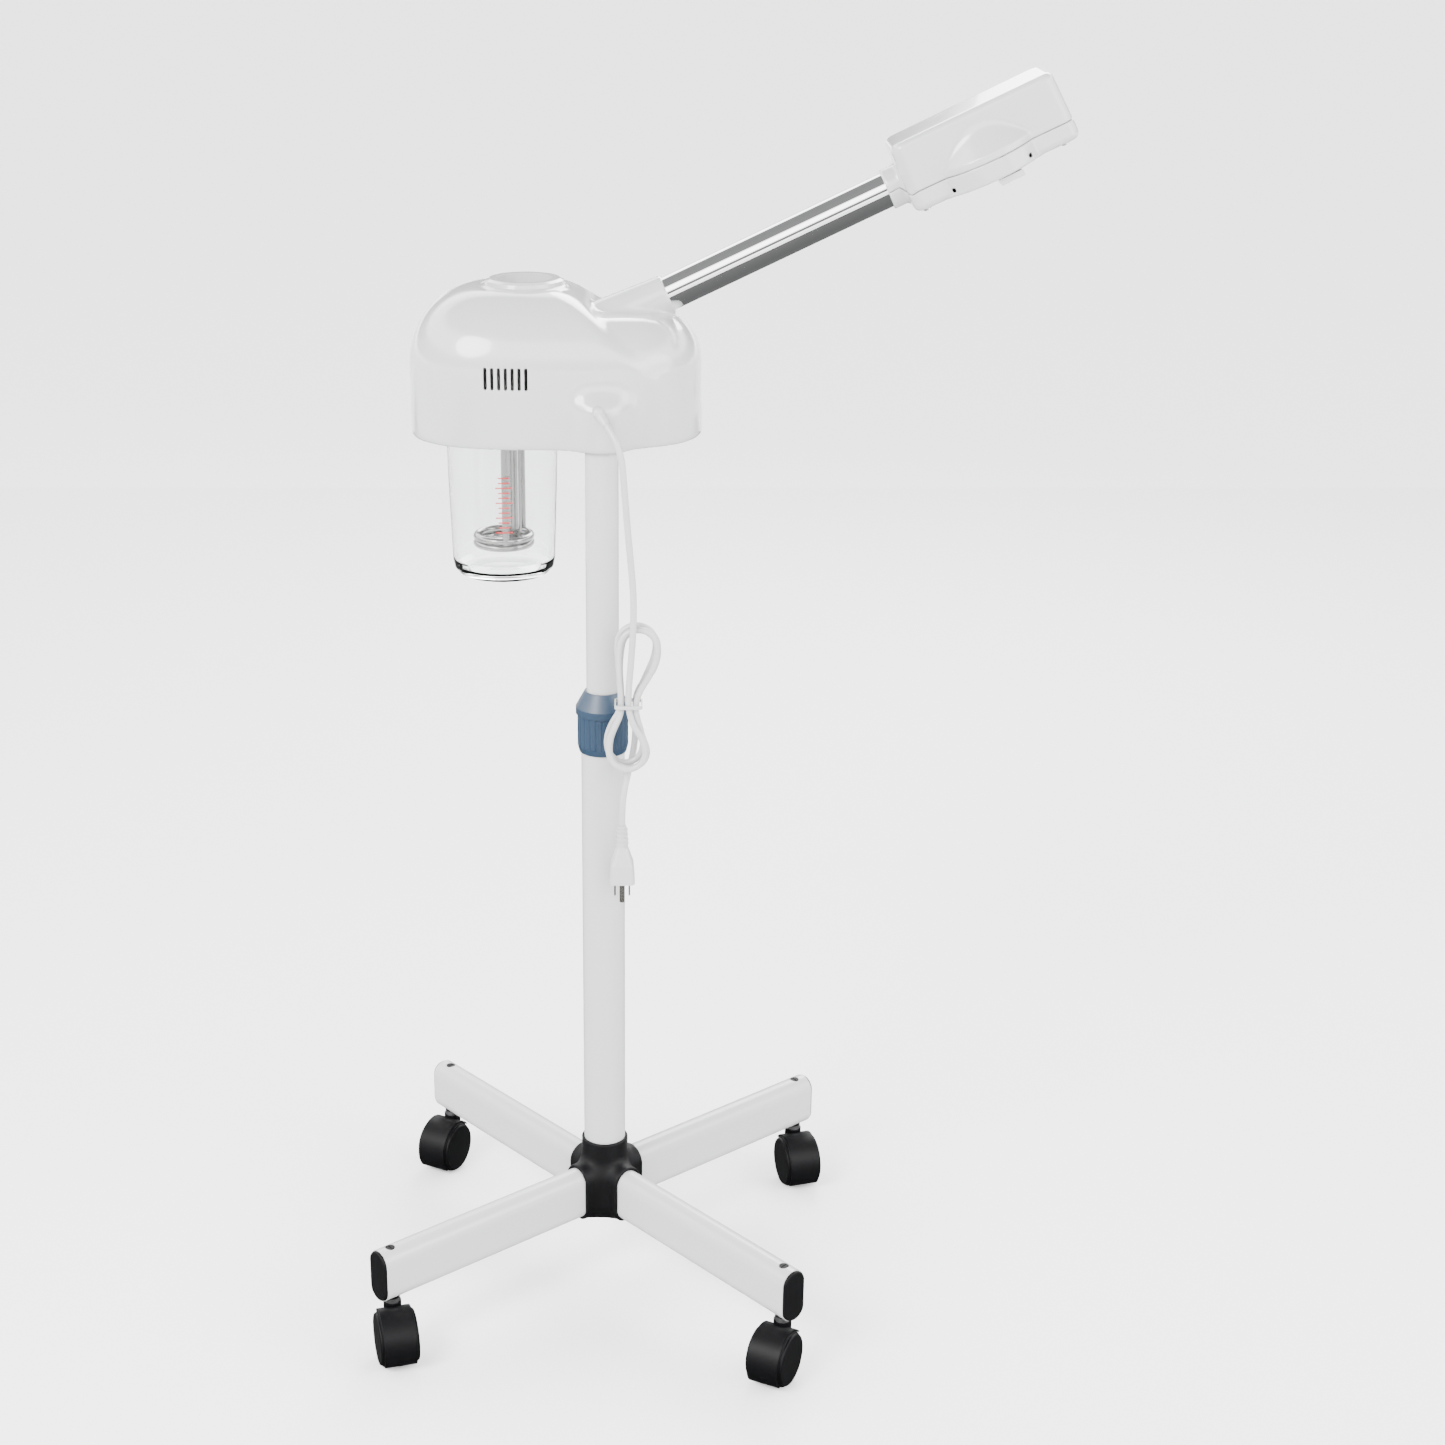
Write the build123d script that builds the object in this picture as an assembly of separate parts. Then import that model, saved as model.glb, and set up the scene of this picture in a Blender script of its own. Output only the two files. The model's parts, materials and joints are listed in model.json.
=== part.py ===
from build123d import *
import math
import os

# Facial steamer on a rolling stand.  Millimetres, +Z up, floor at Z = 0.
# The origin is on the pole's axis at floor level.  The head stands in front of the pole
# (towards +Y), its arm points to +X, and its rear wall with the cord faces -Y.

os.makedirs("parts", exist_ok=True)

# ---------------------------------------------------------------- driving dimensions
# base
leg_count = 4
leg_yaw = -50.0             # direction of the first leg, degrees from +X
leg_height = 50.0
leg_width = 25.0
leg_wall = 1.5
leg_bottom_z = 58.0
leg_start_radius = 22.0
leg_end_radius = 258.0
caster_radius = 246.0       # pole axis to caster stem
end_cap_proud = 2.6
hub_bottom_z = 56.5
hub_top_z = 133.0
hub_sleeve_radius = 34.0
hub_wall = 3.0

# pole
lower_pole_r = 19.1
lower_pole_wall = 1.5
lower_pole_bottom_z = 62.0
lower_pole_top_z = 547.0
upper_pole_r = 14.2
upper_pole_wall = 1.3
upper_pole_bottom_z = 345.0
upper_pole_top_z = 812.0
running_gap = 0.05
free_gap = 0.4

# clamp collar
collar_bottom_z = 518.0
collar_flute_z = 524.0
collar_line_z = 552.0
collar_ridge_z = 559.0
collar_top_z = 573.0
collar_bottom_r = 20.8
collar_flute_r = 22.3
collar_ridge_r = 23.7
collar_top_r = 16.0
flute_count = 24

# casters
wheel_r = 25.0
wheel_width = 12.4
hood_r = 27.0
hood_wall = 1.5
hood_width = 29.0
hood_web = 5.0
caster_trail = 16.0
axle_r = 3.0
stem_r = 4.8
stem_foot_z = 49.5
caster_yaws = [-28.0, 15.0, -28.0, 15.0]

# head
head_center_x = -40.3
head_center_y = 86.0
head_width = 254.5
head_depth = 180.0
head_corner_r = 84.0
head_wall = 2.8
head_bottom_z = 785.0
dome_top_z = 888.0
dome_edge_r = 45.0
mound_top_z = 908.0
mound_edge_r = 62.0
mound_brow_x = -19.4
mound_valley_x = 2.5
boss_r = 18.4
boss_top_z = 826.0

# water path
jar_x = -88.0
jar_rim_z = 796.0
jar_bottom_z = 655.0
jar_top_r = 49.4
jar_bottom_r = 45.2
jar_wall = 2.8
filler_x = -66.0
filler_hole_r = 24.2
filler_ring_r = 34.5
filler_top_z = 914.0

funnel_ledge_z = 897.0
funnel_stem_r = 11.5
heater_plate_z = 799.0
steam_dome_r = 40.0
steam_dome_top_z = 841.0
coil_turn_r = 24.0
coil_wire_r = 3.1
coil_z = 686.0
sensor_r = 5.3
jar_ring_r = 57.0

# rear wall and front panel
vent_count = 7
vent_first_x = -96.4
vent_pitch = 5.67
vent_width = 2.8
vent_height = 18.6
vent_z = 845.0
gland_x = -2.6
gland_y = -18.0
gland_z = 820.5
gland_hole_r = 4.6
gland_length = 14.0
gland_ball_r = 5.4
panel_z = 832.0
panel_width = 112.0
panel_height = 52.0
rocker_width = 20.0
rocker_height = 26.4
rocker_offset = 26.0
rocker_tilt = 5.0
rocker_pivot_depth = 3.0

# arm and nozzle head, in the arm's own frame: X along the arm, Z across it, upwards
arm_x = 56.6
arm_z = 900.3
arm_tilt = 25.25
arm_tube_r = 14.75
arm_tube_wall = 1.2
arm_tube_start = -52.0
arm_tube_end = 226.0
socket_end_r = 17.0
socket_base_r = 22.0
neck_start = 202.0
neck_r = 17.2
nozzle_start = 216.0
nozzle_end = 361.0
nozzle_half_width = 34.0
nozzle_top = 35.0
nozzle_bottom = -24.0
nozzle_seam = -7.0
nozzle_wall = 2.4
outlet_x = 286.5
outlet_boss_r = 51.0
turret_r = 36.0

boss_cylinder_top = 0.0
spout_r = 15.0
nozzle_screw_places = [(226, -24), (226, 24), (349, -24), (349, 24)]
hose_r = 11.4
hose_bore_r = 9.2
hose_start = (-38.4, 86.0, 837.1)
hose_knee = -72.0
hose_end = 228.0

# cord and plug
cord_r = 2.8
hank_thickness = 20.0
tie_x = 22.5
tie_z = 574.0
lead_route = [(4.4, -26.4, 811.8), (9.4, -32.4, 805.5), (14.0, -37.1, 796.7), (17.3, -40.4, 784.5),
              (18.8, -41.4, 765.6), (21.3, -41.6, 733.0), (24.4, -41.0, 699.5), (26.6, -40.4, 670.0),
              (27.3, -40.2, 646.0)]
tail_route = [(21.5, -40.2, 514.0), (19.0, -39.8, 499.0), (17.3, -39.9, 481.0), (16.8, -40.0, 462.0)]
plug_x = 16.8
plug_y = -40.0
plug_top_z = 462.0
plug_body_top_z = 442.0
plug_face_z = 410.0
ground_pin_r = 2.4
ground_pin_length = 18.0

head_xy = Pos(head_center_x, head_center_y, 0)
front_y = head_center_y + head_depth / 2
jar_xy = Pos(jar_x, head_center_y, 0)
filler_xy = Pos(filler_x, head_center_y, 0)
plug_xy = Pos(plug_x, plug_y, 0)
gland_direction = Vector(0.5, -0.6, -0.625).normalized()
steam_stub = Plane(origin=hose_start, z_dir=(0.682, 0, 0.731)).offset(-28)
arm_frame = Pos(arm_x, head_center_y, arm_z) * Rot(0, -arm_tilt, 0)
along_arm = Rot(0, 90, 0)


# ---------------------------------------------------------------- helpers
def save(shape, name):
    if isinstance(shape, (list, tuple)):
        shape = Compound(children=list(shape))
    export_step(shape, f"parts/{name}.step")


def rod(r, low, high):
    return Pos(0, 0, low) * Cylinder(r, high - low, align=(Align.CENTER, Align.CENTER, Align.MIN))


def pipe(outer_r, inner_r, low, high):
    return rod(outer_r, low, high) - rod(inner_r, low - 1, high + 1)


def block(size_x, size_y, low, high):
    return Pos(0, 0, low) * Box(size_x, size_y, high - low, align=(Align.CENTER, Align.CENTER, Align.MIN))


def turned(points):
    """A solid of revolution about Z from (radius, height) points."""
    outline = Polyline(*[(r, 0, z) for r, z in points], close=True)
    return revolve(make_face(outline), Axis.Z)


def edges_at(shape, z, tolerance=0.2):
    return shape.edges().filter_by_position(Axis.Z, z - tolerance, z + tolerance)


def leg_angle(index):
    return leg_yaw + index * 360 / leg_count


# ---------------------------------------------------------------- base
def obround(grow, start, end):
    """The legs' upright obround section, laid along +X."""
    section = Plane.YZ * SlotOverall(leg_height + 2 * grow, leg_width + 2 * grow, rotation=90)
    return Pos(start, 0, leg_bottom_z + leg_height / 2) * extrude(section, amount=end - start)


def leg():
    tube = obround(0, leg_start_radius, leg_end_radius)
    tube -= obround(-leg_wall, leg_start_radius - 1, leg_end_radius + 1)
    top_hole = Pos(caster_radius, 0, 0) * rod(4.5, leg_bottom_z + leg_height / 2, leg_bottom_z + leg_height + 1)
    stem_hole = Pos(caster_radius, 0, 0) * rod(stem_r + 1.6, leg_bottom_z - 1, leg_bottom_z + leg_height / 2)
    return tube - top_hole - stem_hole


def leg_end_plug():
    """Domed end cap whose plug also holds the caster's stem inside the leg."""
    flange = obround(-0.6, leg_end_radius, leg_end_radius + end_cap_proud)
    rim = flange.edges().filter_by_position(Axis.X, leg_end_radius + end_cap_proud - 0.1,
                                            leg_end_radius + end_cap_proud + 0.1)
    flange = fillet(rim, 1.8)
    plug = obround(-leg_wall, caster_radius - 12, leg_end_radius)
    at_stem = Pos(caster_radius, 0, 0)
    plug += at_stem * rod(stem_r + 1.6, leg_bottom_z, leg_bottom_z + 10)
    plug -= at_stem * rod(stem_r + running_gap, leg_bottom_z - 1, leg_bottom_z + 42.5)
    return flange + plug


def top_screw():
    z = leg_bottom_z + leg_height
    screw = rod(4.2, z - leg_wall, z - 0.3) - block(1.0, 5.8, z - 1.0, z + 1)
    return Pos(caster_radius, 0, 0) * screw


def hub():
    body = rod(hub_sleeve_radius - 5, hub_bottom_z, leg_bottom_z + leg_height - 8)
    body += rod(lower_pole_r + 2.4, hub_bottom_z, hub_top_z)
    body += Pos(0, 0, leg_bottom_z + leg_height - 8) * Cone(
        hub_sleeve_radius - 5, lower_pole_r + 2.4, 16, align=(Align.CENTER, Align.CENTER, Align.MIN))
    for index in range(leg_count):
        body += Rot(0, 0, leg_angle(index)) * obround(hub_wall, 0, hub_sleeve_radius)
    body -= rod(100, 0, hub_bottom_z)
    for index in range(leg_count):
        body -= Rot(0, 0, leg_angle(index)) * obround(0, leg_start_radius, 60)
    body -= rod(lower_pole_r, lower_pole_bottom_z, hub_top_z + 1)
    return body


# ---------------------------------------------------------------- pole
def lower_pole():
    return pipe(lower_pole_r, lower_pole_r - lower_pole_wall, lower_pole_bottom_z, lower_pole_top_z)


def clamp_bush():
    """Split collet in the lower pole's mouth, which the collar squeezes onto the upper pole."""
    bore_r = upper_pole_r + running_gap
    sleeve = pipe(lower_pole_r - lower_pole_wall, bore_r, lower_pole_top_z - 60, lower_pole_top_z)
    flange = pipe(lower_pole_r - 0.2, bore_r, lower_pole_top_z, lower_pole_top_z + 3)
    fingers = turned([(bore_r, lower_pole_top_z + 3), (17.4, lower_pole_top_z + 3),
                      (bore_r + 0.9, lower_pole_top_z + 20), (bore_r, lower_pole_top_z + 20)])
    bush = sleeve + flange + fingers
    for index in range(4):
        slit = Pos(12, 0, 0) * block(16, 1.6, lower_pole_top_z + 5, lower_pole_top_z + 21)
        bush -= Rot(0, 0, 45 + 90 * index) * slit
    return bush


def clamp_collar():
    outline = [(lower_pole_r + free_gap, collar_bottom_z), (collar_bottom_r, collar_bottom_z),
               (collar_flute_r, collar_flute_z), (collar_flute_r, collar_line_z),
               (collar_ridge_r, collar_line_z + 0.8), (collar_ridge_r, collar_ridge_z),
               (collar_top_r, collar_top_z), (upper_pole_r + free_gap, collar_top_z),
               (lower_pole_r + free_gap, lower_pole_top_z + 4)]
    collar = turned(outline)
    for index in range(flute_count):
        groove = Pos(collar_flute_r + 0.9, 0, 0) * rod(1.5, collar_flute_z, collar_line_z)
        collar -= Rot(0, 0, index * 360 / flute_count) * groove
    return collar


def upper_pole():
    return pipe(upper_pole_r, upper_pole_r - upper_pole_wall, upper_pole_bottom_z, upper_pole_top_z)


def pole_foot():
    """Guide ring on the upper pole's lower end, running inside the lower pole."""
    ring_r = lower_pole_r - lower_pole_wall - free_gap
    foot = rod(ring_r, upper_pole_bottom_z - 6, upper_pole_bottom_z)
    foot += rod(upper_pole_r - upper_pole_wall, upper_pole_bottom_z, upper_pole_bottom_z + 18)
    return foot - rod(8, upper_pole_bottom_z - 7, upper_pole_bottom_z + 19)


# ---------------------------------------------------------------- casters
def caster_place(index):
    """Stem axis at floor height, with local -Y pointing from the stem to the wheels."""
    angle = math.radians(leg_angle(index))
    place = Pos(caster_radius * math.cos(angle), caster_radius * math.sin(angle), 0)
    return place * Rot(0, 0, caster_yaws[index])


def caster_hood():
    center = Pos(0, -caster_trail, wheel_r)
    drum = center * along_arm * Cylinder(hood_r, hood_width)
    room = center * along_arm * Cylinder(hood_r - hood_wall, hood_width + 2)
    web = center * along_arm * Cylinder(hood_r - 1, hood_web)
    shell = drum - room + web
    behind = Pos(0, 20 - caster_trail + 6, 0) * block(60, 40, 0, wheel_r + 17)
    below = block(80, 120, -10, 7)
    shell = shell - behind - below
    boss = rod(stem_r + 3.2, wheel_r + 13, wheel_r + hood_r + 1.5)
    boss -= (center * along_arm * Cylinder(hood_r - 1, hood_width + 2)) - (
        center * along_arm * Cylinder(hood_r - 1, hood_web))
    shell += boss
    shell -= center * along_arm * Cylinder(axle_r, hood_width + 10)
    return shell - rod(stem_r, stem_foot_z, wheel_r + hood_r + 5)


def caster_pins():
    stem = rod(stem_r, stem_foot_z, leg_bottom_z + 42)
    stem += rod(stem_r + 2.2, wheel_r + hood_r + 1.5, leg_bottom_z - 0.5)
    axle = Pos(0, -caster_trail, wheel_r) * along_arm * Cylinder(axle_r, hood_width - 1)
    return [stem, axle]


def caster_wheel(side):
    """One of the twin wheels: rim, recessed web and hub cap, on the side given by its sign."""
    inner = hood_web / 2 + 0.4
    wheel = rod(wheel_r, 0, wheel_width)
    wheel = fillet(wheel.edges(), 1.6)
    wheel += rod(wheel_r - 1.5, wheel_width - 1, wheel_width + 2.2)
    wheel = fillet(edges_at(wheel, wheel_width + 2.2), 1.5)
    wheel -= pipe(wheel_r - 3.5, 8, -1, wheel_width - 3)
    wheel -= rod(axle_r + running_gap, -1, wheel_width - 0.5)
    turn = Rot(0, 90 * side, 0)
    return Pos(side * inner, -caster_trail, wheel_r) * turn * wheel


# ---------------------------------------------------------------- head
def dome(inset):
    """The head's outer form, drawn in by a wall thickness where inset is not zero."""
    plan = RectangleRounded(head_width - 2 * inset, head_depth - 2 * inset, head_corner_r - inset)
    floor_z = head_bottom_z - (10 if inset else 0)
    low_part = extrude(plan, amount=dome_top_z - inset - floor_z)
    low_part = Pos(0, 0, floor_z) * low_part
    low_part = fillet(edges_at(low_part, dome_top_z - inset), dome_edge_r - inset)
    mound = Pos(0, 0, floor_z) * extrude(plan, amount=mound_top_z - inset - floor_z)
    mound = fillet(edges_at(mound, mound_top_z - inset), mound_edge_r - inset)
    brow = mound_brow_x - head_center_x - inset
    valley = mound_valley_x - head_center_x - inset
    top = mound_top_z - inset
    shoulder = dome_top_z - dome_edge_r + 8
    scoop_line = Polyline((valley, dome_top_z - 6), (valley, shoulder), (200, shoulder),
                          (200, top + 10), (brow - 3, top + 10), (brow - 3, top + 1.2))
    scoop_arc = ThreePointArc((brow - 3, top + 1.2), (brow + 8, top - 9), (valley, dome_top_z - 6))
    scoop = extrude(Plane.XZ * make_face(scoop_line + scoop_arc), amount=200, both=True)
    return head_xy * (mound - (scoop - low_part))


def head_shell():
    shell = dome(0)
    socket = arm_frame * Pos(-58, 0, 0) * along_arm * Cone(
        socket_base_r, socket_end_r, 58, align=(Align.CENTER, Align.CENTER, Align.MIN))
    ring_base = filler_xy * rod(filler_ring_r, mound_top_z - 4, mound_top_z + 1)
    shell = shell + socket + ring_base
    shell -= dome(head_wall)
    boss = rod(boss_r, head_bottom_z, boss_top_z)
    boss = fillet(edges_at(boss, boss_top_z), 8)
    shell += boss
    shell -= rod(upper_pole_r + running_gap, head_bottom_z - 1, upper_pole_top_z + free_gap)
    shell -= arm_frame * along_arm * rod(arm_tube_r, arm_tube_start, 60)
    shell -= arm_frame * along_arm * rod(arm_tube_r - arm_tube_wall, arm_tube_start - 20, 0)
    shell -= filler_xy * rod(filler_hole_r + 3, mound_top_z - 12, mound_top_z + 5)
    for index in range(vent_count):
        x = vent_first_x + index * vent_pitch
        slot = Plane.XZ * SlotOverall(vent_height, vent_width, rotation=90)
        shell -= Pos(x, -10, vent_z) * extrude(slot, amount=14, both=True)
    shell -= Pos(gland_x, -10, gland_z) * Rot(90, 0, 0) * Cylinder(gland_hole_r, 40)
    shell -= Pos(gland_x, gland_y, gland_z) * Sphere(gland_ball_r)
    shell -= Pos(head_center_x, front_y, panel_z) * Box(panel_width - 8, 12, panel_height - 8)
    return shell


def bottom_plate():
    inset = head_wall + 0.2
    plan = RectangleRounded(head_width - 2 * inset, head_depth - 2 * inset, head_corner_r - inset)
    plate = head_xy * Pos(0, 0, head_bottom_z + 1.5) * extrude(plan, amount=2.5)
    plate -= jar_xy * rod(jar_ring_r, 700, 900)
    return plate - rod(boss_r + 0.2, 700, 900)


def jar_ring():
    """Threaded ring under the head that the jar screws into."""
    low = heater_plate_z - 18
    ring = turned([(jar_top_r + free_gap, low), (jar_ring_r - 2, low), (jar_ring_r, low + 2),
                   (jar_ring_r, heater_plate_z), (jar_top_r + free_gap, heater_plate_z)])
    return jar_xy * ring


def jar():
    outer = [(0, jar_bottom_z), (jar_bottom_r - 13, jar_bottom_z), (jar_bottom_r - 6, jar_bottom_z + 1.8),
             (jar_bottom_r - 1.6, jar_bottom_z + 6.5), (jar_bottom_r, jar_bottom_z + 14),
             (jar_top_r, jar_rim_z)]
    inner = [(jar_top_r - jar_wall, jar_rim_z), (jar_bottom_r - jar_wall, jar_bottom_z + 16),
             (jar_bottom_r - jar_wall - 2, jar_bottom_z + 10), (jar_bottom_r - 10, jar_bottom_z + 6.5),
             (0, jar_bottom_z + 5.5)]
    return jar_xy * turned(outer + inner)


def jar_seal():
    return jar_xy * Pos(0, 0, jar_rim_z + 1.5) * Torus(jar_top_r - jar_wall / 2, 1.2)


def heater_lid():
    """Plate that closes the jar and carries the heater, with the steam dome above it."""
    top = heater_plate_z + 4
    lid = rod(jar_top_r + 4, heater_plate_z, top)
    lid += pipe(steam_dome_r, steam_dome_r - 2.5, top, steam_dome_top_z)
    lid += rod(steam_dome_r, steam_dome_top_z, steam_dome_top_z + 3)
    lid -= Pos(-20, 0, 0) * rod(8, heater_plate_z - 1, top + 1)
    lid -= Pos(filler_x - jar_x, 0, 0) * rod(8, heater_plate_z - 1, top + 1)
    lid -= Pos(filler_x - jar_x, 0, 0) * rod(funnel_stem_r, steam_dome_top_z - 1, steam_dome_top_z + 4)
    lid = jar_xy * lid
    stub = steam_stub * Cylinder(9, 34, align=(Align.CENTER, Align.CENTER, Align.MIN))
    stub_bore = steam_stub * Cylinder(7, 35, align=(Align.CENTER, Align.CENTER, Align.MIN))
    cavity = jar_xy * rod(steam_dome_r - 2.5, top, steam_dome_top_z)
    return lid + (stub - cavity) - stub_bore


def heater_coil():
    """Sheathed element: two level turns and two upright legs."""
    coil = jar_xy * Pos(0, 0, coil_z - coil_wire_r + 0.1) * Torus(coil_turn_r, coil_wire_r)
    coil += jar_xy * Pos(0, 0, coil_z + coil_wire_r - 0.1) * Torus(coil_turn_r, coil_wire_r)
    for angle in (-83, 48):
        leg_x = coil_turn_r * math.cos(math.radians(angle))
        leg_y = coil_turn_r * math.sin(math.radians(angle))
        coil += jar_xy * Pos(leg_x, leg_y, 0) * rod(coil_wire_r, coil_z, heater_plate_z)
    return coil


def water_sensors():
    """Temperature sensor tube and the thin level probe beside it."""
    tube = rod(sensor_r, 677, heater_plate_z)
    tube = jar_xy * Pos(8, 0, 0) * fillet(edges_at(tube, 677), 1.5)
    return [tube, jar_xy * Pos(15, -8, 0) * rod(1.3, 690, heater_plate_z)]


def ozone_lamp():
    lamp = Rot(90, 0, 0) * Cylinder(6, 46)
    return jar_xy * Pos(-20, 0, 824) * fillet(lamp.edges(), 2.5)


def ozone_ballast():
    box = block(56, 34, head_bottom_z + 4, head_bottom_z + 28)
    return Pos(8, 138, 0) * fillet(box.edges().filter_by(Axis.Z), 3)


def terminal_block():
    """Screw terminals where the mains lead is joined."""
    strip = block(14, 52, head_bottom_z + 4, head_bottom_z + 16)
    for index in range(4):
        strip -= Pos(0, -19.5 + 13 * index, 0) * rod(3, head_bottom_z + 9, head_bottom_z + 17)
    return Pos(48, 62, 0) * strip


def filler_funnel():
    ring_bottom = mound_top_z + 1
    funnel = turned([(filler_hole_r, filler_top_z), (filler_ring_r - 4.5, filler_top_z),
                     (filler_ring_r - 1, filler_top_z - 1.5), (filler_ring_r, ring_bottom),
                     (filler_hole_r + 2.4, ring_bottom), (filler_hole_r + 2.4, funnel_ledge_z - 3),
                     (funnel_stem_r, 882), (funnel_stem_r, steam_dome_top_z),
                     (funnel_stem_r - 2, steam_dome_top_z), (funnel_stem_r - 2, 884),
                     (filler_hole_r - 3.5, funnel_ledge_z), (filler_hole_r, funnel_ledge_z)])
    return filler_xy * funnel


def filler_cap():
    """Loose plug on the funnel's ledge, with a finger bar."""
    disc = rod(filler_hole_r - 0.8, funnel_ledge_z, funnel_ledge_z + 3.5)
    disc = fillet(edges_at(disc, funnel_ledge_z + 3.5), 1)
    bar = block(26, 4.5, funnel_ledge_z + 3.5, funnel_ledge_z + 11)
    bar = fillet(bar.edges().filter_by(Axis.Y), 3)
    return filler_xy * (disc + bar)


def head_screws():
    screws = []
    for x, y in ((-134, 40), (-134, 132), (40, 32), (52, 132)):
        head = rod(3.4, head_bottom_z + 0.2, head_bottom_z + 1.5)
        head -= block(0.9, 4.4, head_bottom_z, head_bottom_z + 0.9)
        screws.append(Pos(x, y, 0) * head)
    return screws


def cord_gland():
    ball = Pos(gland_x, gland_y, gland_z) * Sphere(gland_ball_r)
    taper = Plane(origin=(gland_x, gland_y, gland_z), z_dir=gland_direction) * Cone(
        4.6, 3.4, gland_length, align=(Align.CENTER, Align.CENTER, Align.MIN))
    inner = Pos(gland_x, gland_y / 2, gland_z) * Rot(90, 0, 0) * Cylinder(gland_hole_r, -gland_y)
    return ball + taper + inner


# ---------------------------------------------------------------- front panel
def rocker_place(side):
    return Pos(head_center_x + side * rocker_offset, front_y - rocker_pivot_depth, panel_z)


def front_panel():
    flange = Pos(head_center_x, front_y + 1.1, panel_z) * Rot(90, 0, 0) * extrude(
        RectangleRounded(panel_width, panel_height, 12), amount=1.1, both=True)
    insert = Pos(head_center_x, front_y - 1.75, panel_z) * Box(panel_width - 8.4, 3.5, panel_height - 8.4)
    panel = flange + insert
    for side in (-1, 1):
        window = Box(rocker_width + 1, 20, rocker_height + 2.6)
        panel -= rocker_place(side) * window
    for side in (-1, 1):
        panel -= Pos(head_center_x, front_y, panel_z + 9 * side) * Rot(90, 0, 0) * Cylinder(2.6, 20)
    return panel


def rocker(side):
    """Rocker key, tilted to its off position about the pivot."""
    key = Pos(0, 1.5, 0) * Box(rocker_width, 10, rocker_height)
    dish = Pos(0, 46.5, 0) * along_arm * Cylinder(41, rocker_width + 2)
    key -= dish
    key = fillet(key.edges().filter_by(Axis.Y), 1.5)
    return rocker_place(side) * Rot(rocker_tilt, 0, 0) * key


def indicator_lamps():
    lamps = []
    for side in (-1, 1):
        lens = Cylinder(2.6, 8) + Pos(0, 0, 4) * Sphere(2.6)
        lamps.append(Pos(head_center_x, front_y + 0.2, panel_z + 9 * side) * Rot(-90, 0, 0) * lens)
    return lamps


# ---------------------------------------------------------------- arm and nozzle head
def arm_tube():
    tube = pipe(arm_tube_r, arm_tube_r - arm_tube_wall, arm_tube_start, arm_tube_end)
    return arm_frame * along_arm * tube


def arm_point(along):
    """A point on the arm's axis, measured from the socket's mouth."""
    angle = math.radians(arm_tilt)
    return Vector(arm_x + along * math.cos(angle), head_center_y, arm_z + along * math.sin(angle))


def steam_hose():
    """Silicone hose from the steam dome through the arm to the nozzle chamber."""
    start = Vector(*hose_start)
    knee = arm_point(hose_knee)
    path = FilletPolyline(start, knee, arm_point(hose_end), radius=60)
    across = Plane(origin=start, z_dir=knee - start)
    outer = sweep(across * Circle(hose_r), path=path)
    inner = sweep(across * Circle(hose_bore_r), path=path)
    return outer - inner


def nozzle_form(inset, low, high):
    """Nozzle head between two heights: a long box with a round boss bulging from its sides."""
    length = nozzle_end - nozzle_start - 2 * inset
    plan = RectangleRounded(length, 2 * (nozzle_half_width - inset), 12 - inset)
    middle = (nozzle_start + nozzle_end) / 2
    return Pos(middle, 0, low) * extrude(plan, amount=high - low)


def outlet_boss(inset, low, high):
    return Pos(outlet_x, 0, 0) * rod(outlet_boss_r - inset, low, high)


def boss_shoulder(inset):
    """The boss's sloping top, which fades into the upper shell's sides."""
    return Pos(outlet_x, 0, boss_cylinder_top - inset) * Cone(
        outlet_boss_r - inset, outlet_boss_r - inset - 22, 22, align=(Align.CENTER, Align.CENTER, Align.MIN))


def nozzle_neck(upper):
    side = 1 if upper else -1
    neck = Pos(neck_start, 0, 0) * along_arm * pipe(neck_r, arm_tube_r + running_gap, 0,
                                                    nozzle_start - neck_start + nozzle_wall)
    return neck & (Pos(nozzle_start, 0, side * 50) * Box(200, 200, 100))


def tube_bore():
    return Pos(neck_start - 5, 0, 0) * along_arm * rod(arm_tube_r + running_gap, 0, 40)


def nozzle_upper():
    form = nozzle_form(0, nozzle_seam, nozzle_top)
    form = fillet(edges_at(form, nozzle_top), 8)
    form += outlet_boss(0, nozzle_seam, boss_cylinder_top) + boss_shoulder(0)
    room = nozzle_form(nozzle_wall, nozzle_seam - 1, nozzle_top - nozzle_wall)
    room += outlet_boss(nozzle_wall, nozzle_seam - 1, boss_cylinder_top - nozzle_wall)
    room += boss_shoulder(nozzle_wall)
    shell = form - room
    shell += nozzle_neck(True) - nozzle_form(0, nozzle_seam - 20, nozzle_seam)
    return arm_frame * (shell - tube_bore())


def nozzle_lower():
    form = nozzle_form(0, nozzle_bottom, nozzle_seam)
    form = fillet(edges_at(form, nozzle_bottom), 5)
    form += outlet_boss(0, nozzle_bottom, nozzle_seam)
    room = nozzle_form(nozzle_wall, nozzle_bottom + nozzle_wall, nozzle_seam + 1)
    room += outlet_boss(nozzle_wall, nozzle_bottom + nozzle_wall, nozzle_seam + 1)
    shell = form - room
    shell += nozzle_neck(False) - nozzle_form(0, nozzle_seam, nozzle_top)
    shell -= Pos(outlet_x, 0, 0) * rod(turret_r + free_gap, nozzle_bottom - 1, nozzle_bottom + 5)
    for x, y in nozzle_screw_places:
        shell -= Pos(x, y, 0) * rod(1.8, nozzle_bottom - 1, nozzle_bottom + 5)
    return arm_frame * (shell - tube_bore())


def nozzle_screws():
    screws = []
    for x, y in nozzle_screw_places:
        screw = rod(3.2, nozzle_bottom - 1.4, nozzle_bottom) + rod(1.6, nozzle_bottom, nozzle_bottom + 12)
        screw -= block(0.9, 4.2, nozzle_bottom - 2, nozzle_bottom - 0.7)
        screws.append(arm_frame * Pos(x, y, 0) * screw)
    return screws


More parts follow.
